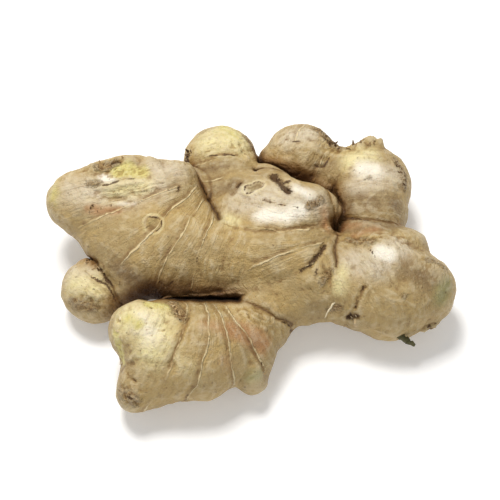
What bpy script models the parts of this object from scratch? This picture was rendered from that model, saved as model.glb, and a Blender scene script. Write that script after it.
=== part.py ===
"""A fresh hand of ginger: one rhizome, grown in one piece, lying on its broad side.

The rhizome is a set of chains of swollen knuckles. Each limb runs from the older wood that it grew out
of to its own tip, and two knuckles that follow each other are joined by one internode. All of the
internodes then grow together under a single skin. +X is along the hand, +Y across it and +Z up, and the
origin is under the middle of the hand, on the surface that it lies on.
"""

import bmesh
import bpy
from mathutils import Vector

MM = 0.001

# Overall shape: how far the knuckles spread along and across the hand, and how plump each of them is.
SPREAD_ALONG = 1.0
SPREAD_ACROSS = 1.0
PLUMPNESS = 1.0

# Every knuckle, in millimetres: its middle in plan (x, y), how far its underside is off the table, and
# its diameters along X, Y and Z.
KNUCKLES = {
    # Mother rhizome, the oldest and thickest wood, from left to right.
    "left_shoulder": (-41, 9.5, 4, 33, 39, 34),
    "left_wood": (-25, 7, 1, 34, 38, 38),
    "middle_wood": (-8, 4, 2, 33, 31, 36),
    "crown_wood": (9, 3, 1, 37, 34, 39),
    "right_wood": (27, -3, 2, 26, 30, 34),
    # Left finger, which turns up and away and is hollowed a little across its blunt end.
    "left_back": (-29, 26.5, 11, 27, 28, 30),
    "left_rim": (-46, 29, 14, 30, 22, 29),
    "left_tip": (-65.5, 25.5, 14, 22, 20, 24),
    "left_front": (-53, 17.5, 9, 28, 23, 28),
    "left_inner": (-34, 20, 8, 30, 26, 32),
    "left_hollow": (-52, 22.5, 9, 28, 22, 28),
    # Small round knob that peeps out from under the left end.
    "left_knob_neck": (-49, -3, 3, 15, 19, 21),
    "left_knob": (-59, -5, 0, 23, 23, 23),
    # Crown, the blunt shoulder in the middle with its worn top.
    "crown_top": (10.5, 18, 6, 37, 30, 36),
    "crown_right": (21, 21, 9, 24, 20, 29),
    "crown_left": (-3, 24, 11, 24, 22, 27),
    "crown_side": (-8, 14, 5, 22, 20, 30),
    "crown_back": (3.5, 37, 6, 18, 16, 22),
    # Round young knob behind the crown.
    "top_knob_neck": (-7, 33, 9, 23, 20, 24),
    "top_knob": (-12, 48, 8, 27, 26, 24),
    # Right finger: a fat heel, a waist and a round head with a torn corner.
    "heel_root": (36, -6, 2, 20, 27, 31),
    "heel": (47, -2, 0, 34, 33, 36),
    "heel_back": (55, 6, 4, 21, 20, 28),
    "heel_front": (51, -12.5, 1, 33, 25, 31),
    "heel_end": (61, -8.5, 2, 28, 25, 30),
    "heel_bud": (68, -14.5, 8, 6, 6, 9),
    "waist": (44, 16, 5, 25, 12, 25),
    "head": (45.5, 38.5, 1, 31, 29, 31),
    "head_corner": (43.5, 50.5, 15, 9, 8, 12),
    # Pear-shaped knob that leans back from the head of the right finger.
    "back_knob_neck": (30, 43.5, 5, 18, 17, 22),
    "back_knob": (19, 50.5, 9, 25, 24, 23),
    "back_knob_tip": (8, 48, 14, 9, 9, 12),
    "back_knob_foot": (29, 33, 3, 20, 19, 19),
    # Front finger, with a pale bud, a corky heel and a small side bud.
    "front_root": (12, -13, 6, 16, 15, 20),
    "front_inner": (-2, -24, 1, 24, 28, 29),
    "front_barrel": (-18, -31.5, 0, 30, 37, 33),
    "front_end": (-30.5, -31.5, 1, 29, 38, 31),
    "front_bud": (-39, -27.5, 7, 24, 23, 27),
    "front_heel": (-41, -46, 3, 14, 15, 18),
    "front_side_bud": (0, -41, 4, 11, 10, 14),
}

# Every limb, as the knuckles that its internodes join, in the order in which they grew.
LIMBS = (
    ("left_shoulder", "left_wood", "middle_wood", "crown_wood", "right_wood"),
    ("left_shoulder", "left_back", "left_rim", "left_tip", "left_front", "left_shoulder"),
    ("left_inner", "left_hollow"),
    ("left_shoulder", "left_knob_neck", "left_knob"),
    ("crown_wood", "crown_top", "crown_right"),
    ("crown_top", "crown_left", "crown_side"),
    ("crown_top", "crown_back"),
    ("crown_left", "top_knob_neck", "top_knob"),
    ("right_wood", "heel_root", "heel", "heel_end"),
    ("heel_root", "heel_front", "heel_end", "heel_bud"),
    ("heel", "heel_back"),
    ("heel", "waist", "head", "head_corner"),
    ("head", "back_knob_neck", "back_knob", "back_knob_tip"),
    ("back_knob_neck", "back_knob_foot"),
    ("right_wood", "front_root", "front_inner", "front_barrel", "front_end", "front_bud"),
    ("front_end", "front_heel"),
    ("front_inner", "front_side_bud"),
)

# Fineness of the skin: its grid step in millimetres, the passes that round off its creases, and the
# share of its facets that is kept.
SKIN_STEP = 1.1
CREASE_SOFTENING = 8
FACETS_KEPT = 0.11

SKIN_COLOUR = (0.50, 0.38, 0.20, 1.0)
SKIN_ROUGHNESS = 0.62


def place_knuckle(name):
    """Centre and half diameters of one knuckle, in metres, after spreading and plumping."""
    x, y, lift, along, across, tall = KNUCKLES[name]
    size = Vector((along, across, tall)) * PLUMPNESS
    centre = Vector((x * SPREAD_ALONG, y * SPREAD_ACROSS, lift + size.z / 2))
    return centre * MM, size / 2 * MM


def add_internode(skin, first, second):
    """The flesh between two knuckles: the tight hull around both of them, added to the skin."""
    hull = bmesh.new()
    for name in (first, second):
        centre, half = place_knuckle(name)
        ball = bmesh.ops.create_icosphere(hull, subdivisions=3, radius=1.0)
        for vert in ball["verts"]:
            vert.co = centre + vert.co * half
    made = bmesh.ops.convex_hull(hull, input=hull.verts)
    spare = set(made["geom_interior"]) | set(made["geom_unused"])
    bmesh.ops.delete(hull, geom=[g for g in spare if isinstance(g, bmesh.types.BMVert)], context="VERTS")
    bmesh.ops.recalc_face_normals(hull, faces=hull.faces)
    flesh = bpy.data.meshes.new("internode")
    hull.to_mesh(flesh)
    hull.free()
    skin.from_mesh(flesh)
    bpy.data.meshes.remove(flesh)


def skin_material():
    material = bpy.data.materials.new("ginger_skin")
    material.use_nodes = True
    shader = material.node_tree.nodes["Principled BSDF"]
    shader.inputs["Base Color"].default_value = SKIN_COLOUR
    shader.inputs["Roughness"].default_value = SKIN_ROUGHNESS
    shader.inputs["Metallic"].default_value = 0.0
    return material


def grow_ginger():
    """All limbs in one mesh, under modifiers that close one skin around them, soften it and facet it."""
    skin = bmesh.new()
    for limb in LIMBS:
        for first, second in zip(limb, limb[1:]):
            add_internode(skin, first, second)
    mesh = bpy.data.meshes.new("ginger_root")
    skin.to_mesh(mesh)
    skin.free()
    mesh.materials.append(skin_material())
    ginger = bpy.data.objects.new("ginger_root", mesh)
    bpy.context.scene.collection.objects.link(ginger)

    one_skin = ginger.modifiers.new("one_skin", "REMESH")
    one_skin.mode = "VOXEL"
    one_skin.voxel_size = SKIN_STEP * MM
    soft_creases = ginger.modifiers.new("soft_creases", "SMOOTH")
    soft_creases.factor = 0.5
    soft_creases.iterations = CREASE_SOFTENING
    facets = ginger.modifiers.new("facets", "DECIMATE")
    facets.ratio = FACETS_KEPT
    return ginger


def lay_on_table(ginger):
    """Moves the hand so that its lowest point is on Z = 0 and the middle of its box is over the origin."""
    bpy.context.view_layer.update()
    grown = ginger.evaluated_get(bpy.context.evaluated_depsgraph_get())
    corners = [Vector(corner) for corner in grown.bound_box]
    low = Vector(map(min, *corners))
    high = Vector(map(max, *corners))
    ginger.location = (-(low.x + high.x) / 2, -(low.y + high.y) / 2, -low.z)


for leftover in list(bpy.data.objects):
    bpy.data.objects.remove(leftover)
lay_on_table(grow_ginger())
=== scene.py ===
import math

import bmesh
import bpy
import numpy as np
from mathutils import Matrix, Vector, noise
from mathutils.bvhtree import BVHTree
from mathutils.kdtree import KDTree


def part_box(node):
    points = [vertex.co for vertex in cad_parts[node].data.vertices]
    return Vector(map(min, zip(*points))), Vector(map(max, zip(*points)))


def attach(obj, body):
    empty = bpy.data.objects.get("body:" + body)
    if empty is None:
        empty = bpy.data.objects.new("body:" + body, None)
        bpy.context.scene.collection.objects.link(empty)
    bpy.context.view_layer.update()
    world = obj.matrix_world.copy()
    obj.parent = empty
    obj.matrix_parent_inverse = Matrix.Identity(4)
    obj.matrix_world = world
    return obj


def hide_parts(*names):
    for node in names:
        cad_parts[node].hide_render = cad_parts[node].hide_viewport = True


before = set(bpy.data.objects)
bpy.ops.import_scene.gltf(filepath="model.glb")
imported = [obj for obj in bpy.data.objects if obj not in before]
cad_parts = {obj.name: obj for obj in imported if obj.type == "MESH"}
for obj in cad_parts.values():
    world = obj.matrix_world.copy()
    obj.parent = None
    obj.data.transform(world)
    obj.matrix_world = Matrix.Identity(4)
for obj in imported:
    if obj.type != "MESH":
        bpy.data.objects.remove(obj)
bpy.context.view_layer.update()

MM = 0.001


# --- Flesh and skin -----------------------------------------------------------------------------------
# A hand of ginger is one solid rhizome of fibrous flesh under a thin papery skin. It is made here as
# one fine, even mesh over the plain solid, softened until no facet is left.

SKIN_GRAIN = 0.72
FACET_SOFTENING = 11
PLUMPING = 0.55
FOLD_DEPTH = 0.6
PINCH_DEPTH = 1.4

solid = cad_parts["ginger_root"]
low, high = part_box("ginger_root")

hand = bpy.data.objects.new("ginger_hand", solid.data.copy())
bpy.context.scene.collection.objects.link(hand)
even_skin = hand.modifiers.new("even_skin", "REMESH")
even_skin.mode = "VOXEL"
even_skin.voxel_size = SKIN_GRAIN * MM
soft_skin = hand.modifiers.new("soft_skin", "SMOOTH")
soft_skin.factor = 0.5
soft_skin.iterations = FACET_SOFTENING
fine = bpy.data.meshes.new_from_object(hand.evaluated_get(bpy.context.evaluated_depsgraph_get()))
hand.modifiers.clear()
hand.data = fine
fine.name = "ginger_hand"
fine.shade_smooth()

count = len(fine.vertices)
edges = np.empty(len(fine.edges) * 2, np.int32)
fine.edges.foreach_get("vertices", edges)
edges = edges.reshape(-1, 2)
neighbours = np.bincount(edges.ravel(), minlength=count)


def read_skin():
    """Places of all points of the skin, in millimetres."""
    flat = np.empty(count * 3, np.float32)
    fine.vertices.foreach_get("co", flat)
    return flat.reshape(-1, 3).astype(float) / MM


def lay_skin(points):
    fine.vertices.foreach_set("co", (points * MM).astype(np.float32).ravel())
    fine.update()


def outward():
    """Direction that the skin faces at each of its points."""
    flat = np.empty(count * 3, np.float32)
    fine.vertex_normals.foreach_get("vector", flat)
    return flat.reshape(-1, 3).astype(float)


def spread(values, passes):
    """Values on the skin, each one averaged with its neighbours a number of times."""
    values = np.array(values, float)
    columns = values.reshape(count, -1)
    for _ in range(passes):
        for column in range(columns.shape[1]):
            around = np.bincount(edges[:, 0], columns[edges[:, 1], column], count)
            around += np.bincount(edges[:, 1], columns[edges[:, 0], column], count)
            columns[:, column] = 0.5 * columns[:, column] + 0.5 * around / neighbours
    return columns.reshape(values.shape)


def ramp(value, start, end):
    """0 up to start, 1 from end on, and a smooth rise between them."""
    share = np.clip((value - start) / (end - start), 0.0, 1.0)
    return share * share * (3 - 2 * share)


def mottle(points, size, seed, stretch=(1, 1, 1)):
    """Soft noise from -1 to 1 with lumps of the given size in millimetres."""
    placed = points / size * np.array(stretch) + seed * 17.3
    return np.array([noise.noise(Vector(p)) for p in placed])


def ridges(points, size, seed, stretch=(1, 1, 1)):
    """Noise like crumpled paper: sharp ridges, about as high as they are deep."""
    return 0.55 - 2.2 * np.abs(mottle(points, size, seed, stretch))


skin = read_skin()
facing = outward()
lumps = 0.80 * mottle(skin, 13.0, 1) + 0.40 * ridges(skin, 9.0, 2) + 0.16 * mottle(skin, 4.0, 11)
wide_hollow = np.einsum("ij,ij->i", spread(skin, 90) - skin, facing)
narrow_hollow = np.einsum("ij,ij->i", spread(skin, 19) - skin, facing)
crease = ramp(wide_hollow, 0.25, 1.3)
pinch = ramp(narrow_hollow, 0.10, 0.45)
skin = skin + facing * (PLUMPING * (1 - crease) + lumps - FOLD_DEPTH * crease - PINCH_DEPTH * pinch)[:, None]
lay_skin(skin)


# --- Places on the skin -------------------------------------------------------------------------------
# Every scar and ring is placed in whole millimetres from the middle of the hand, along it and across
# it, and lies where the skin is under that place, as seen from above.

ABOVE = 100.0
EDGE_HEIGHT = 12.0

faces = [tuple(face.vertices) for face in fine.polygons]
skin_tree = BVHTree.FromPolygons([Vector(p) for p in skin], faces)


def on_skin(along, across):
    """The point of the skin under a place, or the nearest one where the place is just off the edge."""
    hit = skin_tree.ray_cast(Vector((along, across, ABOVE)), Vector((0, 0, -1)))[0]
    if hit is None:
        hit = skin_tree.find_nearest(Vector((along, across, EDGE_HEIGHT)))[0]
    return np.array(hit)


def trace(*places, step=1.0):
    """A line of points on the skin through the given places."""
    line = [on_skin(*places[0])]
    for start, end in zip(places, places[1:]):
        parts = max(1, round(math.dist(on_skin(*start), on_skin(*end)) / step))
        for part in range(1, parts + 1):
            share = part / parts
            along = start[0] + (end[0] - start[0]) * share
            across = start[1] + (end[1] - start[1]) * share
            line.append(on_skin(along, across))
    return np.array(line)


waver = 0.55 * np.column_stack([mottle(skin, 3.2, seed) for seed in (16, 17, 18)])


def away_from(line, reach):
    """Distance of each point of the skin from a line, no more than reach, with a wavering hand."""
    far = np.full(count, float(reach))
    near = np.all((skin > line.min(0) - reach) & (skin < line.max(0) + reach), axis=1)
    chosen = skin[near] + waver[near]
    best = np.linalg.norm(chosen - line[0], axis=1)
    for start, end in zip(line, line[1:]):
        run = end - start
        share = np.clip((chosen - start) @ run / max(run @ run, 1e-9), 0, 1)
        best = np.minimum(best, np.linalg.norm(chosen - start - share[:, None] * run, axis=1))
    far[near] = np.minimum(best, reach)
    return far


# --- Furrows ------------------------------------------------------------------------------------------
# Fingers that grow against each other press a sharp, deep furrow between them, where old soil stays and
# shade falls; its colour is darkened there, nearly to black in the deepest slits, as soil and painted
# shade. Each one here: its places, its depth in millimetres, how dark its soil and painted shade are,
# half the width of its dark slit, and whether the skin is filled before it is pressed in.

FURROWS = (
    ([(-22, 33), (-19, 25), (-16, 18), (-14, 13), (-11, 6)], 3.4, 1.1, 1.4, True),
    ([(5, 34), (13, 31), (20, 29), (27, 25)], 2.0, 1.1, 1.5, False),
    ([(27, 24), (30, 17), (31, 10), (32, 3)], 3.2, 1.1, 1.5, False),
    ([(32, 3), (31, -5), (31, -12)], 1.8, 0.90, 1.2, True),
    ([(33, 13), (39, 11), (45, 9), (55, 10)], 1.5, 0.80, 1.3, False),
    ([(-42, -17), (-36, -20), (-31, -20)], 2.6, 1.1, 2.4, False),
    ([(-31, -20), (-16, -21), (-5, -22)], 6.8, 2.1, 3.6, True),
    ([(-5, -22), (0, -24), (9, -28), (16, -27)], 1.4, 0.80, 1.2, True),
    ([(-58, -3), (-53, -9), (-51, -13), (-47, -18)], 1.2, 0.75, 1.4, False),
    ([(-10, 4), (-3, 0), (6, -1), (16, 0), (24, 4)], 0.9, 0.22, 1.2, False),
    ([(-22, -33), (-24, -41), (-28, -48)], 1.0, 0.25, 1.2, False),
    ([(-43, -49), (-40, -52)], 0.9, 0.40, 1.2, False),
)
# Hollows of the plain solid that a real hand doesn't have.
FILLED = (
    [(-4, -18), (4, -20), (12, -21)],
    [(-3, 9), (-2, 9)],
    [(-22, 26), (-19, 14)],
    [(-15, 26), (-12, 16)],
)
FILLED_REACH = 10.0
SHOULDER_REACH = 6.0
SEARCH_REACH = 4.5
PRESSED_IN = np.array([0, 0.5, -0.87])

filled = spread(skin, 300)
fill = np.zeros(count)
for places in [*FILLED, *(furrow[0] for furrow in FURROWS if furrow[-1])]:
    fill = np.maximum(fill, ramp(1 - away_from(trace(*places), FILLED_REACH) / FILLED_REACH, 0, 0.55))
skin = skin + (filled - skin) * spread(fill, 10)[:, None]
lay_skin(skin)
skin_tree = BVHTree.FromPolygons([Vector(p) for p in skin], faces)


def settled(line):
    """A line moved into the deepest hollow near it."""
    moved = []
    for point in line:
        away = np.linalg.norm(skin - point, axis=1)
        worth = hollowness - 0.22 * away
        worth[away > SEARCH_REACH] = -9
        moved.append(skin[worth.argmax()])
    moved = np.array(moved)
    for _ in range(4):
        moved[1:-1] = (moved[:-2] + moved[1:-1] + moved[2:]) / 3
    return moved


hollowness = np.einsum("ij,ij->i", spread(skin, 45) - skin, outward())
sunk = np.zeros(count)
fold = np.zeros(count)
for places, depth, darkness, slit_reach, is_filled in FURROWS:
    line = trace(*places)
    if not is_filled:
        line = settled(line[::2])
    away = away_from(line, SHOULDER_REACH) * (1 + 0.25 * mottle(skin, 2.5, 15))
    shoulder = np.clip(1 - away / SHOULDER_REACH, 0, 1)
    slit = np.clip(1 - away / slit_reach, 0, 1)
    sunk = np.maximum(sunk, depth * (0.60 * shoulder ** 2 + 0.60 * slit))
    fold = np.maximum(fold, darkness * np.maximum(slit, 0.50 * shoulder ** 1.6))
skin = skin + PRESSED_IN * sunk[:, None]
skin[:, 2] = np.maximum(skin[:, 2], 0)
lay_skin(skin)
skin_tree = BVHTree.FromPolygons([Vector(p) for p in skin], faces)

# Share of the sky that neighbouring fingers hide from the skin, felt at every eighth point of it; the
# colour is darkened by it as painted shade. The looks from one point turn by the golden angle, so that
# they spread evenly.
SHELTER_REACH = 24.0
SHELTER_LOOKS = 36
SHELTER_SPACING = 8
LOOK_HEIGHT = 0.4
GOLDEN_ANGLE = 2.39996

facing = outward()
felt = KDTree(count // SHELTER_SPACING + 1)
shelter_felt = []
for index in range(0, count, SHELTER_SPACING):
    out = facing[index]
    side = np.cross(out, (0, 0, 1) if abs(out[2]) < 0.9 else (1, 0, 0))
    side /= np.linalg.norm(side)
    other = np.cross(out, side)
    start = skin[index] + out * LOOK_HEIGHT
    hidden = 0.0
    for look in range(SHELTER_LOOKS):
        share = (look + 0.5) / SHELTER_LOOKS
        turn = look * GOLDEN_ANGLE
        wide = math.sqrt(share)
        ray = out * math.sqrt(1 - share) + wide * (side * math.cos(turn) + other * math.sin(turn))
        distance = skin_tree.ray_cast(Vector(start), Vector(ray), SHELTER_REACH)[3]
        if distance is not None:
            hidden += 1 - 0.5 * distance / SHELTER_REACH
    felt.insert(Vector(skin[index]), len(shelter_felt))
    shelter_felt.append(hidden / SHELTER_LOOKS)
felt.balance()
sheltered = spread([shelter_felt[felt.find(Vector(p))[1]] for p in skin], 14)


# --- Growth rings -------------------------------------------------------------------------------------
# Each ring is the scar of a scale leaf that once wrapped the finger: a thin raised line with a shallow
# groove on its younger side. Between two rings the finger swells a little.

RING_LIP = 0.22
RING_GROOVE = 0.22
INTERNODE_SWELL = 0.40
OLDEST_INTERNODE = 9.0
YOUNGEST_INTERNODE = 14.0

# Each limb: the core line through its knuckles and its half thickness, in millimetres, and its rings
# from the oldest to the youngest, each by three or more places.
LIMBS = {
    "left": (
        [(-14, 0, 20), (-41, 5, 21), (-65, 22, 26)], 18,
        [
            [(-20, -13), (-18, -7), (-16, 0), (-14, 6)],
            [(-32, -12), (-27, -6), (-24, 1), (-19, 12)],
            [(-46, -8), (-37, -2), (-30, 4), (-26, 12), (-22, 19)],
            [(-63, 7), (-52, 9), (-42, 10), (-33, 17)],
        ],
    ),
    "crown": (
        [(10, -13, 14), (11, 13, 24), (4, 26, 22)], 18,
        [
            [(8, -18), (13, -16), (20, -13), (26, -9)],
            [(-4, -14), (1, -11), (11, -10), (18, -7), (25, -3)],
            [(-10, 4), (-3, 0), (6, -1), (16, 0), (24, 4), (29, 9)],
        ],
    ),
    "front": (
        [(13, -18, 16), (-18, -36, 16), (-40, -34, 18)], 16,
        [
            [(-6, -29), (-4, -35), (3, -41)],
            [(-11, -28), (-9, -36), (-7, -42), (-6, -50)],
            [(-16, -28), (-14, -37), (-15, -46), (-19, -53)],
            [(-24, -23), (-22, -33), (-24, -41), (-28, -48)],
        ],
    ),
    "top_knob": (
        [(-5, 23, 22), (-12, 44, 20)], 13,
        [
            [(-19, 25), (-13, 27), (-5, 30)],
            [(-20, 36), (-11, 36), (-2, 40)],
        ],
    ),
    "heel": (
        [(35, -10, 17), (68, -15, 16)], 16,
        [
            [(42, -3), (46, -9), (50, -15)],
            [(58, 0), (62, -9), (64, -18)],
        ],
    ),
    "head": (
        [(45, 10, 17), (47, 37, 17)], 14,
        [
            [(33, 14), (44, 10), (54, 12)],
            [(33, 21), (42, 19), (52, 22)],
        ],
    ),
    "back_knob": (
        [(32, 39, 17), (15, 46, 20)], 11,
        [
            [(29, 41), (27, 37), (25, 34)],
            [(19, 50), (17, 43), (12, 38)],
        ],
    ),
    "left_knob": (
        [(-45, -5, 14), (-62, -11, 12)], 11,
        [
            [(-58, -10), (-53, -13), (-49, -17)],
        ],
    ),
}


def ring_plane(places, core):
    """A ring's middle, and the direction across it towards the tip of its limb."""
    points = np.array([on_skin(*place) for place in places])
    middle = points.mean(0)
    towards_tip = core[-1] - core[0]
    to_core = 0.35 * (core_point(core, middle) - middle)
    normal = np.linalg.svd(np.vstack([points - middle, to_core]))[2][-1]
    if normal @ towards_tip < 0:
        normal = -normal
    return middle, normal


def core_point(core, place):
    """The point of a limb's core line that is nearest to a place."""
    best = core[0]
    for start, end in zip(core, core[1:]):
        run = end - start
        share = np.clip((place - start) @ run / (run @ run), 0, 1)
        point = start + share * run
        if math.dist(point, place) < math.dist(best, place):
            best = point
    return best


cores = {name: np.array(line, float) for name, (line, _, _) in LIMBS.items()}
closeness = np.array([away_from(cores[name], 90) / LIMBS[name][1] for name in LIMBS])
nearest_limb = closeness.argmin(0)

wobble = 0.9 * mottle(skin, 7.0, 3) + 0.35 * mottle(skin, 2.2, 4)
age = np.zeros(count)
ring_gap = np.zeros(count)
last_ring = np.zeros(count)
ring_shown = np.zeros(count)
for number, (name, (_, _, rings)) in enumerate(LIMBS.items()):
    on_limb = nearest_limb == number
    points = skin[on_limb]
    past = []
    shown = np.ones((len(rings) + 1, len(points)))
    on_top = facing[on_limb][:, 2] > 0.1
    for ring, places in enumerate(rings, 1):
        seen_line = ramp(away_from(trace(*places), 12.0)[on_limb], 10.0, 4.0)
        shown[ring] = np.where(on_top, seen_line, 0.8)
        middle, normal = ring_plane(places, cores[name])
        past.append((points - middle) @ normal + wobble[on_limb])
    past = np.minimum.accumulate(np.array(past), axis=0)
    past = np.vstack([past[0] + OLDEST_INTERNODE, past, past[-1] - YOUNGEST_INTERNODE])
    limb_age = past[0] / OLDEST_INTERNODE
    gap = np.full(len(points), OLDEST_INTERNODE)
    for step in range(len(past) - 1):
        between = (past[step] >= 0) & (past[step + 1] < 0)
        width = np.maximum(past[step] - past[step + 1], 0.5)
        limb_age[between] = step + (past[step] / width)[between]
        gap[between] = width[between]
    beyond = past[-1] >= 0
    limb_age[beyond] = len(past) - 1 + past[-1][beyond] / YOUNGEST_INTERNODE
    age[on_limb] = limb_age
    last_ring[on_limb] = len(rings)
    nearest_ring = np.clip(np.round(limb_age).astype(int), 0, len(rings))
    ring_shown[on_limb] = shown[nearest_ring, np.arange(len(points))]
    ring_gap[on_limb] = gap

age_share = age - np.floor(age)
after_ring = age_share * ring_gap
before_ring = (1 - age_share) * ring_gap
two_nearest = np.sort(closeness, axis=0)[:2]
ring_strength = (0.62 + 0.75 * mottle(skin, 8.0, 5)) * ramp(two_nearest[1] - two_nearest[0], 0.02, 0.16)
# How plainly each limb shows its rings, in the order of LIMBS.
ring_plainness = np.array([1.0, 1.0, 1.1, 0.8, 0.30, 0.35, 0.6, 0.5])
ring_strength = np.clip(ring_strength, 0, 1) * ring_plainness[nearest_limb]
ring_strength *= spread(ring_shown, 6) * ramp(age, 0.40, 0.60) * (1 - ramp(age - last_ring, 0.40, 0.60))
lip = np.exp(-np.minimum(after_ring, before_ring) ** 2 / 0.20)
groove = np.exp(-((after_ring - 0.9) ** 2) / 0.4) * (age > 1.0)
swell = np.sin(math.pi * age_share) * ramp(ring_gap, 2.0, 8.0)
raised = RING_LIP * lip * ring_strength - RING_GROOVE * groove * ring_strength + INTERNODE_SWELL * swell
inside_limb = ramp(two_nearest[1] - two_nearest[0], 0.02, 0.12)
fibre_places = np.column_stack([age * 8.0, skin[:, 0] * 0.10, skin[:, 1] * 0.10 + skin[:, 2] * 0.12])
fibres = np.array([noise.noise(Vector(p)) for p in fibre_places])
pleats = 0.55 - 2.2 * np.abs(np.array([noise.noise(Vector(p)) for p in fibre_places * (0.42, 0.5, 0.5)]))
skin = skin + outward() * (spread(raised, 1) + inside_limb * (0.07 * fibres + 0.13 * pleats))[:, None]
lay_skin(skin)


# --- Creases, scars and cracks ------------------------------------------------------------------------
# Where fingers press together the skin folds in and holds soil, and its colour is darkened there as soil
# and painted shade. The rest of the hand carries bud scars, drying cracks, corky patches where it was
# rubbed, and the torn face where a finger was broken off.

facing = outward()
# Of these marks, the grey film and pale ones also carry painted light on the tops of the knuckles, and the
# dull one carries painted shade on their lower sides and necks.
kinds = ("soil", "cork", "fresh", "pale_and_highlight", "rose", "green", "film_and_top_light", "dull_skin_and_shade", "cream", "crumple", "slit")
marks = {kind: np.zeros(count) for kind in kinds}
relief = np.zeros(count)


def stain(kind, *places, reach, strength=1.0):
    """Colours the skin near a line of places, fading out at the given reach in millimetres."""
    near = 1 - away_from(trace(*places), reach) / reach
    marks[kind] = np.maximum(marks[kind], near * strength)


def dent(*places, reach, depth):
    """Presses the skin in near a line of places, or raises it where the depth is negative."""
    near = 1 - away_from(trace(*places), reach) / reach
    relief[:] -= depth * ramp(near, 0, 1)


def crack(*places, width, depth):
    """A dry split with dark soil in it and slightly raised edges."""
    dent(*places, reach=width * 3.0, depth=-0.35 * depth)
    dent(*places, reach=width * 1.6, depth=1.5 * depth)
    stain("slit", *places, reach=width * 1.2)


def tatter(*places, reach, height):
    """Dry skin that stands up in small torn flakes."""
    near = 1 - away_from(trace(*places), reach) / reach
    relief[:] += height * ramp(near, 0, 0.6) * (0.35 + flake_noise)


def bud_scar(*places, radius, hollow_depth, greenness):
    """The scar of a bud: a thin dark line inside a low rim, around a slightly sunken olive field."""
    away = away_from(trace(*places), radius * 1.9) + 0.25 * flake_noise
    relief[:] += 0.20 * np.exp(-((away - radius) / 0.6) ** 2)
    relief[:] -= hollow_depth * (1 - ramp(away, radius * 0.4, radius))
    marks["green"] = np.maximum(marks["green"], greenness * (1 - ramp(away, radius * 0.5, radius * 0.9)))
    marks["soil"] = np.maximum(marks["soil"], 0.88 * np.exp(-((away - radius * 0.86) / 0.36) ** 2))
    marks["cream"] = np.maximum(marks["cream"], 0.55 * np.exp(-((away - radius * 1.2) / 0.45) ** 2))


flake_noise = ridges(skin, 1.7, 12)


# Left finger: the torn face with its pale lip, the bud scar and the rubbed bands under the tip.
dent((-52, 25), (-47, 23), (-41, 25), reach=8.5, depth=2.2)
stain("fresh", (-49, 24), (-45, 25), (-40, 24), reach=5.5)
stain("pale_and_highlight", (-54, 22), (-51, 21), reach=3.2)
stain("cork", (-55, 27), (-50, 28), reach=3.6)
stain("soil", (-51, 28), (-48, 28), reach=1.7)
dent((-54, 18), (-46, 19), (-40, 20), reach=2.6, depth=-0.7)
crack((-54, 19), (-51, 19), (-46, 20), (-40, 21), width=0.75, depth=0.5)
stain("cork", (-59, 20), (-56, 20), reach=3.0, strength=0.7)
crack((-51, 14), (-51, 12), width=0.6, depth=0.4)
dent((-50, 13), (-45, 12), (-40, 13), reach=1.6, depth=-0.55)
stain("pale_and_highlight", (-48, 13), (-42, 12), reach=1.8, strength=0.6)
stain("rose", (-59, 11), (-54, 10), (-48, 10), reach=3.4, strength=0.8)
stain("soil", (-58, 11), (-57, 12), reach=1.3)
stain("fresh", (-73, 18), (-72, 22), reach=7.0, strength=0.55)
bud_scar((-35, 3), radius=3.3, hollow_depth=0.3, greenness=0.30)
stain("film_and_top_light", (-65, 18), (-50, 15), (-35, 18), reach=12.0, strength=0.8)
stain("film_and_top_light", (-40, 24), (-28, 25), reach=9.0, strength=0.8)
stain("crumple", (-60, 20), (-48, 16), (-36, 17), reach=7.0, strength=0.55)
stain("cream", (-50, 17), (-38, 18), reach=7.0, strength=0.75)
stain("crumple", (-60, 26), (-48, 28), reach=6.0)
stain("dull_skin_and_shade", (-48, -10), (-42, -13), reach=9.0, strength=0.9)
stain("dull_skin_and_shade", (-38, -14), (-20, -17), (-6, -18), reach=6.0, strength=0.9)
dent((-26, 28), (-24, 30), reach=7.0, depth=-1.6)
dent((-44, 29), reach=4.0, depth=-1.2)
dent((-37, 29), reach=5.0, depth=-1.8)
dent((-58, 27), reach=4.0, depth=-1.2)
tatter((-57, 26), (-52, 28), (-46, 29), reach=3.0, height=0.9)
tatter((-72, 25), (-67, 27), reach=2.0, height=0.4)
stain("soil", (-68, 27), reach=1.2, strength=0.8)
stain("soil", (-27, 16), (-26, 18), reach=1.8, strength=0.9)
stain("soil", (-17, 1), reach=1.2, strength=0.8)
stain("soil", (-19, -9), (-19, -10), reach=1.1, strength=0.8)
crack((-15, -9), (-13, -9), (-13, -11), width=0.5, depth=0.2)
crack((-33, -14), (-30, -15), (-27, -14), width=0.6, depth=0.3)
stain("soil", (-36, -15), (-33, -15), reach=1.8, strength=0.8)

# Top knob: yellow and cracked at its end, with a dry flake on one side and soil at its neck.
stain("fresh", (-10, 52), (-6, 49), reach=8.0, strength=0.65)
crack((-9, 47), (-9, 44), width=0.6, depth=0.45)
crack((-15, 38), (-10, 38), (-6, 38), width=0.6, depth=0.4)
crack((-4, 42), (-3, 40), width=0.5, depth=0.35)
stain("cork", (-2, 49), (3, 42), reach=3.0)
stain("soil", (-2, 49), (3, 42), reach=1.2, strength=0.8)
tatter((-24, 39), (-23, 43), reach=2.8, height=1.6)
stain("soil", (-24, 39), (-23, 42), reach=2.2)
stain("cream", (-15, 45), (-6, 45), reach=12.0)
stain("crumple", (-15, 41), (-4, 42), reach=9.0)
stain("dull_skin_and_shade", (-16, 32), (-6, 33), reach=7.0, strength=0.75)
stain("dull_skin_and_shade", (-13, 22), (-6, 22), reach=7.0, strength=0.9)
dent((-4, 22), (-6, 18), reach=2.6, depth=0.8)
stain("soil", (-4, 22), (-5, 19), reach=2.6, strength=0.9)

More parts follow.
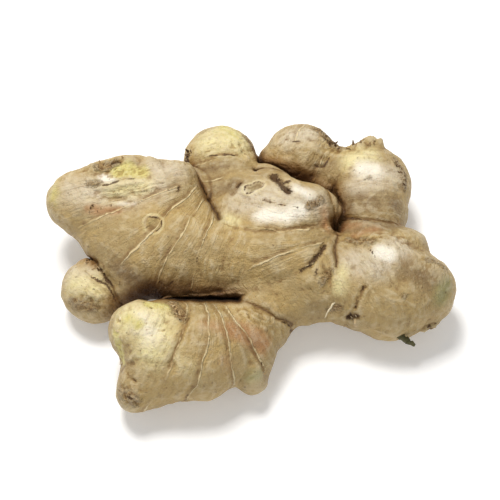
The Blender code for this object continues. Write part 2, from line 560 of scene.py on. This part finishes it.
# Crown: its worn, flaking top with a bud scar, a torn pit and a long fine crack.
stain("film_and_top_light", (-3, 14), (10, 13), (24, 13), reach=11.0)
stain("pale_and_highlight", (4, 6), (13, 5), (18, 8), reach=5.5, strength=0.9)
stain("pale_and_highlight", (17, 17), (21, 15), reach=4.5, strength=0.7)
stain("rose", (27, 11), (28, 5), reach=5.0, strength=0.7)
stain("cream", (-9, 7), (-6, 5), reach=5.0, strength=0.8)
dent((22, 17), (27, 12), (29, 6), reach=3.4, depth=-0.5)
bud_scar((0, 18), (3, 19), radius=2.4, hollow_depth=0.7, greenness=0.35)
dent((9, 25), (12, 19), (14, 16), reach=4.0, depth=2.0)
stain("soil", (9, 27), (10, 22), (12, 18), (14, 16), reach=3.8, strength=1.0)
stain("soil", (12, 21), (14, 21), reach=2.6, strength=0.9)
tatter((9, 25), (12, 19), (14, 16), reach=3.4, height=0.7)
crack((5, 12), (8, 11), (13, 9), (17, 9), width=0.55, depth=0.4)
stain("soil", (5, 12), (7, 11), reach=1.5)
stain("cork", (21, 10), (24, 13), (26, 15), reach=2.6, strength=0.9)
stain("soil", (22, 11), (25, 13), reach=0.9, strength=0.85)
stain("soil", (23, 7), reach=0.9, strength=0.8)
stain("soil", (6, 1), (8, 2), reach=1.3, strength=0.6)
for wave in range(5):
    crack((8 + 3 * wave, 9), (8 + 3 * wave, 6), width=0.4, depth=0.12)

# The join of crown and right finger: dark lens-shaped scars and long dry wrinkles.
dent((27, -4), (25, -8), (22, -12), reach=2.2, depth=0.6)
stain("soil", (27, -4), (25, -8), (22, -12), reach=2.2)
stain("soil", (22, -12), (18, -14), reach=1.5, strength=0.9)
stain("soil", (24, -14), (23, -16), reach=1.8, strength=0.8)
for wrinkle in range(4):
    dent((26 + wrinkle, -6 - wrinkle), (26 + wrinkle, -20), reach=1.1, depth=0.45)
stain("cork", (28, -14), (26, -17), reach=3.2, strength=0.75)

# Back knob: a rubbed brown shoulder, torn flakes and a slit.
stain("film_and_top_light", (14, 46), (22, 48), reach=9.0, strength=0.8)
stain("crumple", (13, 46), (21, 45), (29, 44), reach=8.0)
stain("dull_skin_and_shade", (25, 36), (32, 37), reach=6.0, strength=0.6)
tatter((26, 52), (30, 49), (34, 45), reach=3.0, height=0.9)
stain("cork", (26, 51), (30, 48), (34, 44), reach=4.6)
stain("soil", (30, 50), (31, 43), reach=1.7, strength=0.85)
stain("soil", (13, 45), (14, 46), reach=1.4, strength=0.75)
crack((14, 45), (18, 44), (22, 44), (26, 46), width=0.5, depth=0.3)
crack((30, 39), (28, 36), (25, 36), width=0.7, depth=0.5)
dent((18, 42), (23, 42), (28, 40), reach=1.6, depth=-0.5)
stain("soil", (14, 38), reach=0.9, strength=0.7)

# Head of the right finger: a torn top corner, a dry brown edge and the split of a ring.
dent((40, 44), (42, 43), reach=3.0, depth=-1.4)
dent((45, 46), (49, 45), reach=3.4, depth=-2.4)
tatter((36, 43), (41, 44), (45, 46), (49, 45), reach=2.2, height=1.1)
tatter((55, 38), (58, 33), (58, 28), reach=2.2, height=0.8)
stain("film_and_top_light", (40, 24), (46, 27), (53, 30), reach=11.0, strength=0.9)
stain("cream", (38, 37), (45, 38), reach=8.0, strength=0.9)
stain("dull_skin_and_shade", (35, 19), (45, 17), (54, 18), reach=8.0, strength=1.0)
stain("dull_skin_and_shade", (35, 9), (45, 6), (53, 9), reach=7.0, strength=1.1)
stain("rose", (34, 9), (40, 8), reach=5.0, strength=0.6)
stain("pale_and_highlight", (42, 32), (46, 31), reach=7.0, strength=0.8)
crack((30, 24), (34, 24), width=0.7, depth=0.6)
crack((35, 14), (39, 12), (44, 10), width=0.75, depth=0.6)
stain("cork", (55, 38), (58, 33), (58, 27), reach=3.0, strength=0.9)
stain("soil", (40, 43), (42, 44), reach=1.2, strength=0.8)
stain("soil", (57, 31), (57, 28), reach=1.0, strength=0.8)
stain("cork", (43, 27), (45, 28), reach=1.6, strength=0.65)

# Heel of the right finger: a painted highlight on its top, a rough band at the waist, a deep slit and a
# green end.
dent((64, -10), (67, -12), reach=9.0, depth=-1.3)
stain("pale_and_highlight", (47, -7), (50, -8), reach=4.5, strength=1.1)
stain("film_and_top_light", (38, -10), (46, -12), (54, -5), reach=10.0)
stain("dull_skin_and_shade", (57, -13), (64, -16), reach=9.0, strength=0.9)
stain("cream", (33, -13), (32, -19), reach=5.0, strength=0.8)
stain("crumple", (35, 0), (45, 0), (57, 0), reach=6.0)
stain("cork", (36, 0), (44, -2), reach=3.6, strength=0.8)
stain("rose", (38, 3), (46, 4), reach=4.5, strength=0.6)
dent((41, -19), (39, -22), (38, -24), reach=1.6, depth=0.9)
stain("soil", (41, -19), (39, -22), (38, -24), reach=1.2)
stain("soil", (39, -22), (38, -24), reach=1.7)
crack((38, -24), (35, -25), width=0.8, depth=0.5)
dent((36, -25), (39, -26), reach=2.6, depth=0.9)
stain("soil", (36, -25), (39, -26), reach=2.7)
stain("cork", (29, -23), (32, -23), reach=2.8)
stain("green", (69, -20), (71, -16), reach=6.5, strength=0.85)
stain("soil", (67, -25), (66, -26), reach=2.2, strength=0.9)
tatter((65, -26), (69, -24), reach=2.6, height=1.6)
stain("soil", (48, -17), reach=0.9, strength=0.8)
stain("soil", (46, -24), reach=1.4, strength=0.65)
stain("cork", (55, -22), reach=3.0, strength=0.6)
stain("cork", (64, -9), (70, -10), reach=2.6, strength=0.8)
crack((43, -5), (45, -9), width=0.5, depth=0.25)
dent((49, -20), (54, -23), (60, -25), reach=1.2, depth=-0.3)

# Front finger: the pale smooth bud, brown flakes beside it, rosy rings and a corky heel.
stain("cream", (-42, -33), (-34, -33), (-34, -42), reach=13.0)
dent((-35, -34), (-32, -40), reach=11.0, depth=-1.3)
stain("pale_and_highlight", (-38, -34), (-35, -38), reach=8.0, strength=0.55)
stain("cream", (-27, -43), (-22, -50), reach=8.0, strength=0.35)
stain("crumple", (-2, -28), (6, -30), reach=6.0)
stain("crumple", (-44, -53), (-40, -56), reach=5.0)
stain("crumple", (-46, -33), (-45, -41), (-38, -45), reach=4.0, strength=0.7)
tatter((-46, -29), (-48, -36), (-46, -42), reach=2.0, height=0.6)
tatter((-46, -53), (-44, -56), (-40, -58), reach=2.6, height=0.8)
crack((-38, -26), (-35, -29), width=0.6, depth=0.4)
stain("fresh", (-43, -33), (-39, -35), reach=4.0, strength=0.75)
stain("fresh", (-36, -27), (-30, -27), reach=5.0, strength=0.75)
stain("fresh", (-47, -37), (-45, -43), reach=3.6, strength=0.8)
stain("cork", (-28, -25), (-24, -31), reach=4.4)
stain("soil", (-27, -27), (-25, -30), reach=1.7, strength=0.85)
dent((-29, -32), (-25, -33), reach=1.4, depth=-0.6)
dent((-46, -45), (-40, -46), (-33, -48), (-27, -48), reach=2.2, depth=0.45)
stain("soil", (-33, -48), (-33, -50), reach=1.3, strength=0.7)
stain("soil", (-42, -41), reach=0.9, strength=0.75)
stain("rose", (-6, -36), (0, -37), (4, -38), reach=7.0)
stain("rose", (-15, -35), (-10, -36), reach=6.0, strength=0.55)
stain("rose", (-9, -46), (-8, -48), reach=5.0, strength=0.45)
for wrinkle in range(3):
    dent((-3 + wrinkle, -28 - 2 * wrinkle), (6 + wrinkle, -29 - 2 * wrinkle), reach=1.5, depth=-0.45)
stain("cork", (-45, -54), (-41, -57), reach=4.4)
crack((-43, -50), (-40, -52), width=0.7, depth=0.5)
crack((-44, -55), (-41, -57), width=0.7, depth=0.5)
stain("soil", (-26, -56), (-22, -55), reach=1.5, strength=0.8)
stain("green", (0, -48), (3, -47), reach=4.6, strength=0.75)
stain("soil", (4, -43), (5, -46), reach=1.1, strength=0.8)
crack((9, -28), (12, -28), (16, -27), width=0.8, depth=0.6)

# Left knob: soil at its neck, an arching ring crack and a speckled underside.
stain("film_and_top_light", (-65, -8), (-60, -9), reach=8.0, strength=0.8)
stain("cream", (-64, -12), (-57, -14), reach=9.0, strength=0.8)
stain("crumple", (-63, -16), (-55, -17), reach=6.0)
tatter((-60, -2), (-57, -4), (-54, -8), reach=2.4, height=1.2)
crack((-58, -10), (-53, -13), (-49, -17), width=0.65, depth=0.5)
stain("soil", (-55, -7), (-53, -10), (-51, -13), reach=2.2)
stain("soil", (-60, -3), (-58, -2), reach=1.8)
stain("cork", (-64, -18), (-58, -19), reach=5.0, strength=0.9)
for spot in range(6):
    stain("soil", (-65 + 2 * spot, -17 - spot % 3), reach=1.2, strength=0.7)

# The colour darkens in every fold between two fingers, most of all where they touch: soil settles
# there, and painted shade deepens it.
hollow = 0.35 * ramp(wide_hollow, 0.6, 2.6) + 0.65 * ramp(narrow_hollow, 0.08, 0.45)

ragged = 0.5 * mottle(skin, 1.6, 6) + 0.5 * mottle(skin, 0.9, 7)
cork_crumbs = ramp(marks["cork"] + 0.3 * ragged, 0.25, 0.75)
relief += cork_crumbs * (0.22 * mottle(skin, 1.5, 8) + 0.12)
wrinkles = ridges(skin, 4.2, 13, (1, 1.6, 1)) - ridges(skin, 3.4, 14, (1, 1.6, 1))
fine_wrinkles = ridges(skin, 1.9, 19) - ridges(skin, 1.7, 20)
relief += marks["crumple"] * (0.50 * wrinkles + 0.28 * fine_wrinkles)
relief += 0.13 * ridges(skin, 2.4, 9) + 0.06 * mottle(skin, 1.0, 10)
skin = skin + facing * (spread(relief, 1) * (1 + 0.4 * ragged))[:, None]
skin[:, 2] = np.maximum(skin[:, 2], 0)
lay_skin(skin)

facing = outward()
fine_hollow = np.einsum("ij,ij->i", spread(skin, 5) - skin, facing) / 0.10
broad_hollow = np.einsum("ij,ij->i", spread(skin, 30) - skin, facing) / 0.45
# The painted shade in the colour follows this: hollows darker, small ridges a little paler.
cavity = np.clip(0.5 + 0.5 * (0.6 * fine_hollow + 0.5 * broad_hollow), 0, 1)
marks.update(age=age, ring_gap=ring_gap, ring_strength=ring_strength, cavity=cavity)
marks.update(sheltered=sheltered, inside_limb=inside_limb, fold=np.maximum(fold, np.clip(hollow, 0, 1)))
for name, values in marks.items():
    stored = fine.attributes.new(name, "FLOAT", "POINT")
    stored.data.foreach_set("value", values.astype(np.float32))


# --- Colour and finish of the skin --------------------------------------------------------------------
# The skin is dry and papery: tan over yellow flesh, with a thin grey film where it is oldest. Painted
# light and shade are mixed into its colour: highlights and lighter tops on the knuckles, darker lower
# sides, and darkening in hollows, folds and wherever neighbouring fingers hide the sky. It has a low,
# waxy shine, a little more on the pale worn tops of the knuckles and less on cork and soil.

paper = bpy.data.materials.new("ginger_skin")
paper.use_nodes = True
tree = paper.node_tree
shader = tree.nodes["Principled BSDF"]


def tone(red, green, blue):
    """A display colour of 0 to 255 as the linear colour that a shader takes."""
    linear = [((part / 255 + 0.055) / 1.055) ** 2.4 for part in (red, green, blue)]
    return (*linear, 1.0)


def feed(socket, value):
    if isinstance(value, bpy.types.NodeSocket):
        tree.links.new(value, socket)
    else:
        socket.default_value = value


def grain(size, detail=3.0, roughness=0.55, stretch=None, distortion=0.0):
    """Noise from 0 to 1 with lumps of the given size in millimetres."""
    made = tree.nodes.new("ShaderNodeTexNoise")
    made.inputs["Scale"].default_value = 1 / (size * MM)
    made.inputs["Detail"].default_value = detail
    made.inputs["Roughness"].default_value = roughness
    made.inputs["Distortion"].default_value = distortion
    place = object_place.outputs["Object"]
    if stretch:
        place = stretched(place, stretch)
    tree.links.new(place, made.inputs["Vector"])
    return made.outputs["Fac"]


def stretched(place, stretch):
    made = tree.nodes.new("ShaderNodeMapping")
    made.inputs["Scale"].default_value = stretch
    tree.links.new(place, made.inputs["Vector"])
    return made.outputs["Vector"]


def maths(kind, first, second, third=None):
    """One step of arithmetic on two or three values, such as ADD or MULTIPLY_ADD."""
    made = tree.nodes.new("ShaderNodeMath")
    made.operation = kind
    feed(made.inputs[0], first)
    feed(made.inputs[1], second)
    if third is not None:
        feed(made.inputs[2], third)
    return made.outputs[0]


def between(value, start, end, lowest=0.0, highest=1.0):
    """lowest where the value is at or before start, highest from end on."""
    made = tree.nodes.new("ShaderNodeMapRange")
    made.interpolation_type = "SMOOTHSTEP"
    feed(made.inputs["Value"], value)
    made.inputs["From Min"].default_value = min(start, end)
    made.inputs["From Max"].default_value = max(start, end)
    made.inputs["To Min"].default_value = lowest if start < end else highest
    made.inputs["To Max"].default_value = highest if start < end else lowest
    return made.outputs["Result"]


def blend_of(share, below, above, kind="MIX"):
    made = tree.nodes.new("ShaderNodeMix")
    made.data_type = "RGBA"
    made.blend_type = kind
    feed(made.inputs["Factor"], share)
    feed(made.inputs["A"], below)
    feed(made.inputs["B"], above)
    for socket in made.outputs:
        if socket.type == "RGBA":
            return socket


def layer(name):
    made = tree.nodes.new("ShaderNodeAttribute")
    made.attribute_name = name
    return made.outputs["Fac"]


object_place = tree.nodes.new("ShaderNodeTexCoord")
broad = grain(14, 2)
patchy = grain(5.5, 4, 0.6)
mottled = grain(2.2, 4, 0.65)
speckled = grain(0.8, 3, 0.6)
dusty = grain(0.35, 2, 0.5)


def ragged_edge(name, softness=0.12, amount=0.55, level=0.45):
    """A mark with a torn edge: its falloff broken up by noise, then cut off at a level."""
    broken = maths("MULTIPLY_ADD", maths("SUBTRACT", mottled, 0.5), amount, layer(name))
    broken = maths("MULTIPLY_ADD", maths("SUBTRACT", speckled, 0.5), amount, broken)
    return between(broken, level - softness, level + softness)


def soft_edge(name, start=0.05, end=0.85, amount=0.5):
    broken = maths("MULTIPLY_ADD", maths("SUBTRACT", patchy, 0.5), amount, layer(name))
    return between(broken, start, end)


colour = blend_of(between(broad, 0.38, 0.62), tone(184, 156, 100), tone(172, 147, 98))
# Thin grey film on the old skin, and painted light: it lies on the upper sides of the knuckles.
colour = blend_of(soft_edge("film_and_top_light"), colour, tone(208, 193, 166))
colour = blend_of(soft_edge("cream"), colour, tone(230, 216, 160))
# Painted shade with dull grey-brown skin: darker on the lower sides and necks of the knuckles.
colour = blend_of(soft_edge("dull_skin_and_shade"), colour, tone(132, 108, 72))
colour = blend_of(between(patchy, 0.44, 0.68, 0.0, 0.38), colour, tone(186, 164, 118))
colour = blend_of(between(mottled, 0.50, 0.70, 0.0, 0.50), colour, tone(144, 116, 70))
colour = blend_of(between(grain(4.5, 5, 0.6), 0.52, 0.66, 0.0, 0.30), colour, tone(212, 192, 146))

# Fine threads run round the finger, between the rings.
threads_place = tree.nodes.new("ShaderNodeCombineXYZ")
feed(threads_place.inputs[0], maths("MULTIPLY", layer("age"), 14.0))
threads_around = tree.nodes.new("ShaderNodeVectorMath")
threads_around.operation = "MULTIPLY_ADD"
feed(threads_around.inputs[0], object_place.outputs["Object"])
threads_around.inputs[1].default_value = (180, 180, 180)
feed(threads_around.inputs[2], threads_place.outputs[0])
threads = tree.nodes.new("ShaderNodeTexNoise")
threads.inputs["Scale"].default_value = 1.0
threads.inputs["Detail"].default_value = 3.0
feed(threads.inputs["Vector"], threads_around.outputs[0])
thread_height = maths("MULTIPLY", threads.outputs["Fac"], layer("inside_limb"))
colour = blend_of(between(thread_height, 0.52, 0.68, 0.0, 0.30), colour, tone(160, 130, 82))

colour = blend_of(soft_edge("rose"), colour, tone(178, 134, 88))
colour = blend_of(soft_edge("green"), colour, tone(150, 142, 92))
# Painted highlight: near-white patches on the worn tops of the knuckles; in a few places pale skin.
colour = blend_of(soft_edge("pale_and_highlight"), colour, tone(246, 238, 220))
colour = blend_of(soft_edge("fresh", 0.15, 0.70), colour, tone(212, 198, 124))

# A ring is a pale raised thread with a darker shade on its younger side.
ring_share = maths("FRACT", layer("age"), 0.0)
after = maths("MULTIPLY", ring_share, layer("ring_gap"))
before = maths("MULTIPLY", maths("SUBTRACT", 1.0, ring_share), layer("ring_gap"))
beside = maths("MINIMUM", after, before)
thread_noise = maths("MULTIPLY_ADD", maths("SUBTRACT", mottled, 0.5), 1.2, beside)
visible = between(layer("ring_strength"), 0.15, 0.65)
shade = maths("MULTIPLY", between(after, 2.6, 0.5), maths("MULTIPLY", visible, 0.45))
colour = blend_of(shade, colour, tone(140, 108, 66))
thread = maths("MULTIPLY", between(thread_noise, 0.45, 0.12), maths("MULTIPLY", visible, 0.85))
colour = blend_of(thread, colour, tone(228, 206, 158))

cork = ragged_edge("cork", 0.22)
cork_colour = blend_of(between(speckled, 0.40, 0.62), tone(118, 86, 50), tone(190, 160, 112))
colour = blend_of(maths("MULTIPLY", cork, 0.80), colour, cork_colour)
fold_share = layer("fold")
cavity_share = layer("cavity")
# Painted shade: darker in the small hollows of the skin; a little paler on its small ridges.
colour = blend_of(between(cavity_share, 0.52, 1.0, 0.0, 0.60), colour, tone(176, 146, 104), "MULTIPLY")
colour = blend_of(between(cavity_share, 0.42, 0.0, 0.0, 0.22), colour, tone(240, 228, 196))
# Painted shade: the colour darkens where neighbouring fingers hide the sky from the skin.
shelter_shade_share = layer("sheltered")
colour = blend_of(between(shelter_shade_share, 0.12, 0.50, 0.0, 0.90), colour, tone(190, 158, 112), "MULTIPLY")
colour = blend_of(between(shelter_shade_share, 0.30, 0.70, 0.0, 0.85), colour, tone(128, 92, 50), "MULTIPLY")
# Painted shade and soil: darker along the furrows and in the folds, nearly black in the deepest slits.
colour = blend_of(between(fold_share, 0.05, 0.70, 0.0, 0.75), colour, tone(122, 90, 48))
colour = blend_of(between(fold_share, 0.45, 0.95, 0.0, 0.92), colour, tone(62, 38, 16))
colour = blend_of(between(fold_share, 0.95, 1.5, 0.0, 0.95), colour, tone(30, 18, 8))
soil_halo = ragged_edge("soil", 0.28, 0.8, 0.48)
colour = blend_of(maths("MULTIPLY", soil_halo, 0.60), colour, tone(124, 92, 52))
soil = ragged_edge("soil", 0.12, 1.0, 0.72)
colour = blend_of(maths("MULTIPLY", soil, 0.88), colour, tone(78, 53, 27))
slit_line = maths("MULTIPLY_ADD", maths("SUBTRACT", mottled, 0.5), 0.9, layer("slit"))
slit_share = between(slit_line, 0.40, 0.62)
colour = blend_of(maths("MULTIPLY", slit_share, 0.85), colour, tone(76, 50, 24))
specks = between(grain(1.3, 1, 0.4), 0.72, 0.78, 0.0, 0.55)
colour = blend_of(specks, colour, tone(104, 76, 44))
colour = blend_of(between(dusty, 0.62, 0.76, 0.0, 0.25), colour, tone(236, 220, 184))
tree.links.new(colour, shader.inputs["Base Color"])

rough = between(patchy, 0.3, 0.7, 0.46, 0.60)
rough = maths("ADD", rough, maths("MULTIPLY", cork, 0.22))
rough = maths("ADD", rough, maths("MULTIPLY", soil, 0.25))
rough = maths("SUBTRACT", rough, maths("MULTIPLY", soft_edge("pale_and_highlight"), 0.08))
tree.links.new(rough, shader.inputs["Roughness"])

height = maths("MULTIPLY_ADD", mottled, 0.9, maths("MULTIPLY", speckled, 0.5))
height = maths("MULTIPLY_ADD", dusty, 0.18, height)
height = maths("MULTIPLY_ADD", thread_height, 0.8, height)
height = maths("MULTIPLY_ADD", thread, 0.8, height)
height = maths("MULTIPLY_ADD", maths("MULTIPLY", cork, speckled), 1.6, height)
height = maths("MULTIPLY_ADD", soil, -1.2, height)
relief_bump = tree.nodes.new("ShaderNodeBump")
relief_bump.inputs["Strength"].default_value = 0.85
relief_bump.inputs["Distance"].default_value = 1.0 * MM
tree.links.new(height, relief_bump.inputs["Height"])
tree.links.new(relief_bump.outputs["Normal"], shader.inputs["Normal"])
shader.inputs["Specular IOR Level"].default_value = 0.36
shader.inputs["Subsurface Weight"].default_value = 0.06
shader.inputs["Subsurface Radius"].default_value = (1.0, 0.55, 0.25)
shader.inputs["Subsurface Scale"].default_value = 1.5 * MM

fine.materials.clear()
fine.materials.append(paper)


# --- Torn skin and rootlets ---------------------------------------------------------------------------
# Dry scraps of skin still stand where the hand was torn and rubbed, and three rootlets are left under
# the right finger. They have grown on the hand, so they are joined to its mesh.

SCRAP_THICKNESS = 0.16
SCRAP_STEPS = 5
SUNK_FOOT = 0.35
ROOTLET_STEPS = 12
ROOTLET_SIDES = 10

# Each line of scraps: the places of its two ends, how many, their length in millimetres, and their
# shade, from 0 for dark brown to 1 for pale.
SCRAPS = (
    ((-24, 39), (-23, 43), 8, 2.0, 0.05),
    ((-55, 27), (-46, 29), 9, 1.9, 0.35),
    ((36, 43), (49, 46), 10, 1.8, 0.30),
    ((55, 38), (58, 28), 9, 1.5, 0.15),
    ((26, 52), (34, 44), 9, 1.7, 0.20),
    ((9, 25), (14, 16), 8, 1.8, 0.15),
    ((21, 10), (26, 15), 6, 1.3, 0.35),
    ((-60, -2), (-52, -11), 10, 1.7, 0.20),
    ((-29, -25), (-24, -32), 9, 1.7, 0.60),
    ((35, -25), (39, -26), 5, 1.7, 0.70),
    ((65, -26), (69, -24), 5, 1.6, 0.20),
    ((4, -44), (5, -47), 3, 1.3, 0.30),
    ((-46, -29), (-46, -43), 7, 1.2, 0.75),
    ((-59, 11), (-54, 10), 4, 1.1, 0.25),
)

skin_tree = BVHTree.FromPolygons([Vector(p) for p in skin], faces)
chance = np.random.default_rng(5)
scrap_points = []
scrap_faces = []
scrap_shades = []


def add_grid(rows, shade):
    """Adds the faces between rows of points that have the same length."""
    first = len(scrap_points)
    width = len(rows[0])
    for row in rows:
        scrap_points.extend(row)
        scrap_shades.extend([shade] * width)
    for down in range(len(rows) - 1):
        for across in range(width - 1):
            corner = first + down * width + across
            scrap_faces.append((corner, corner + 1, corner + width + 1, corner + width))


for start, end, number, usual_length, shade in SCRAPS:
    for item in range(number):
        share = (item + chance.uniform(0.1, 0.9)) / number
        place = (start[0] + (end[0] - start[0]) * share, start[1] + (end[1] - start[1]) * share)
        spot, normal = skin_tree.find_nearest(Vector(on_skin(*place)))[:2]
        base = np.array(spot)
        out = np.array(normal)
        turn = chance.normal(size=3)
        along = turn - out * (turn @ out)
        along /= np.linalg.norm(along)
        side = np.cross(out, along)
        length = usual_length * chance.uniform(0.6, 1.3)
        width = length * chance.uniform(0.35, 0.7)
        rise = chance.uniform(0.25, 0.75)
        skew = chance.uniform(-0.4, 0.4)
        upper = []
        for down in range(SCRAP_STEPS + 1):
            step = down / SCRAP_STEPS
            half_width = width * 0.5 * (1 - step ** 2) + 0.05
            lift = out * (0.30 + rise * length * step ** 1.6)
            spine = base - out * SUNK_FOOT + along * length * step + lift
            spine = spine + side * skew * length * step ** 2
            curl = (-1, -0.4, 0.4, 1)
            bow = out * 0.18 * half_width
            upper.append([spine + side * half_width * c - bow * c * c for c in curl])
        lower = [[point - out * SCRAP_THICKNESS for point in reversed(row)] for row in upper]
        around = [above + below + above[:1] for above, below in zip(upper, lower)]
        add_grid(around, np.clip(shade + chance.uniform(-0.15, 0.15), 0, 1))


def add_rootlet(place, reach_along, reach_down, drop, thickness, shade):
    """A short root that leaves the skin at a place, bends down and ends in a blunt tip."""
    spot, normal = skin_tree.find_nearest(Vector(on_skin(*place)))[:2]
    base = np.array(spot) - np.array(normal) * 0.8
    path = []
    for step in range(ROOTLET_STEPS + 1):
        share = step / ROOTLET_STEPS
        sag = np.array([reach_along * share, -reach_down * share, -drop * share ** 1.7])
        kink = 0.30 * thickness * np.array([math.sin(step * 1.3), math.cos(step * 1.9), 0])
        path.append(base + sag + kink * min(1, share * 3))
    rows = []
    for step, centre in enumerate(path):
        ahead = path[min(step + 1, ROOTLET_STEPS)] - path[max(step - 1, 0)]
        ahead /= np.linalg.norm(ahead)
        side = np.cross(ahead, (0, 0, 1))
        side /= np.linalg.norm(side)
        other = np.cross(side, ahead)
        share = step / ROOTLET_STEPS
        radius = thickness * (1 - 0.55 * share) * (0.35 if step == ROOTLET_STEPS else 1)
        radius *= 1 + 0.18 * math.sin(step * 2.6)
        row = []
        for corner in range(ROOTLET_SIDES + 1):
            angle = 2 * math.pi * (corner % ROOTLET_SIDES) / ROOTLET_SIDES
            lump = 1 + 0.14 * math.sin(3 * angle + step)
            row.append(centre + radius * lump * (side * math.cos(angle) + other * math.sin(angle)))
        rows.append(row)
    rows.append([path[-1]] * (ROOTLET_SIDES + 1))
    add_grid(rows, shade)


add_rootlet((57, -34), reach_along=5.5, reach_down=3.5, drop=2.0, thickness=1.45, shade=-1.0)
add_rootlet((31, -22), reach_along=-4.0, reach_down=4.4, drop=5.0, thickness=0.42, shade=1.0)
add_rootlet((32, -21), reach_along=-3.2, reach_down=1.0, drop=1.0, thickness=0.30, shade=0.9)

scraps_mesh = bpy.data.meshes.new("ginger_scraps")
scraps_mesh.from_pydata([tuple(point * MM) for point in scrap_points], [], scrap_faces)
scraps_mesh.shade_smooth()
shades = scraps_mesh.attributes.new("shade", "FLOAT", "POINT")
shades.data.foreach_set("value", np.array(scrap_shades, np.float32))

# Each scrap and rootlet is closed along its seam and over its open ends.
weld = bmesh.new()
weld.from_mesh(scraps_mesh)
bmesh.ops.remove_doubles(weld, verts=weld.verts, dist=0.001 * MM)
bmesh.ops.holes_fill(weld, edges=weld.edges)
bmesh.ops.recalc_face_normals(weld, faces=weld.faces)
weld.to_mesh(scraps_mesh)
weld.free()

dry = bpy.data.materials.new("ginger_dry_skin")
dry.use_nodes = True
tree = dry.node_tree
shader = tree.nodes["Principled BSDF"]
object_place = tree.nodes.new("ShaderNodeTexCoord")
scrap_shade = maths("ADD", layer("shade"), maths("MULTIPLY", maths("SUBTRACT", grain(0.9, 3), 0.5), 0.5))
colour = blend_of(between(scrap_shade, 0.0, 0.5), tone(74, 50, 27), tone(172, 142, 96))
colour = blend_of(between(scrap_shade, 0.5, 1.0), colour, tone(230, 216, 182))
colour = blend_of(between(scrap_shade, -0.2, -0.6), colour, tone(92, 88, 56))
tree.links.new(colour, shader.inputs["Base Color"])
tree.links.new(between(grain(1.2), 0.3, 0.7, 0.55, 0.75), shader.inputs["Roughness"])
scrap_bump = tree.nodes.new("ShaderNodeBump")
scrap_bump.inputs["Strength"].default_value = 0.5
scrap_bump.inputs["Distance"].default_value = 0.3 * MM
tree.links.new(grain(0.5, 4), scrap_bump.inputs["Height"])
tree.links.new(scrap_bump.outputs["Normal"], shader.inputs["Normal"])
shader.inputs["Specular IOR Level"].default_value = 0.3
scraps_mesh.materials.append(dry)

scraps = bpy.data.objects.new("ginger_scraps", scraps_mesh)
bpy.context.scene.collection.objects.link(scraps)
with bpy.context.temp_override(active_object=hand, object=hand, selected_editable_objects=[hand, scraps]):
    bpy.ops.object.join()
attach(hand, "root")
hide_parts("ginger_root")


# --- Surface, light and camera ------------------------------------------------------------------------
# The hand lies on a plain white table under a large soft lamp that stands behind and above it. A wide,
# weaker lamp in front fills the shadows.

SURFACE_SIZE = 3.0
CAMERA_DISTANCE = 0.55
CAMERA_ELEVATION = math.radians(59.3)
LENS = 107.0

table_mesh = bpy.data.meshes.new("table")
half = SURFACE_SIZE / 2
corners = [(-half, -half, 0), (half, -half, 0), (half, half, 0), (-half, half, 0)]
table_mesh.from_pydata(corners, [], [(0, 1, 2, 3)])
table = bpy.data.objects.new("table", table_mesh)
bpy.context.scene.collection.objects.link(table)
white = bpy.data.materials.new("white_table")
white.use_nodes = True
paint = white.node_tree.nodes["Principled BSDF"]
paint.inputs["Base Color"].default_value = (0.93, 0.93, 0.93, 1)
paint.inputs["Roughness"].default_value = 0.85
paint.inputs["Emission Color"].default_value = (1, 1, 1, 1)
paint.inputs["Emission Strength"].default_value = 0.18
table_mesh.materials.append(white)

middle = (low + high) / 2


def lamp(name, place, size, power, warmth=(1, 1, 1)):
    light = bpy.data.lights.new(name, "AREA")
    light.size = size
    light.energy = power
    light.color = warmth
    holder = bpy.data.objects.new(name, light)
    holder.location = place
    holder.rotation_euler = (middle - Vector(place)).to_track_quat("-Z", "Y").to_euler()
    bpy.context.scene.collection.objects.link(holder)


lamp("key_lamp", (-0.14, 0.26, 0.80), 0.28, 6.6, (1.0, 0.985, 0.96))
lamp("front_lamp", (0.05, -0.65, 0.55), 0.60, 0.8)
world = bpy.data.worlds.new("studio")
world.use_nodes = True
world.node_tree.nodes["Background"].inputs["Color"].default_value = (1, 1, 1, 1)
world.node_tree.nodes["Background"].inputs["Strength"].default_value = 0.36
bpy.context.scene.world = world
bpy.context.scene.view_settings.view_transform = "Standard"

camera_data = bpy.data.cameras.new("camera")
camera_data.lens = LENS
camera_data.sensor_width = 36
camera = bpy.data.objects.new("camera", camera_data)
aim = middle + Vector((0, 0.0014, 0.0019))
look_down = Vector((0, -math.cos(CAMERA_ELEVATION), math.sin(CAMERA_ELEVATION)))
camera.location = aim + CAMERA_DISTANCE * look_down
camera.rotation_euler = (aim - camera.location).to_track_quat("-Z", "Y").to_euler()
bpy.context.scene.collection.objects.link(camera)
bpy.context.scene.camera = camera
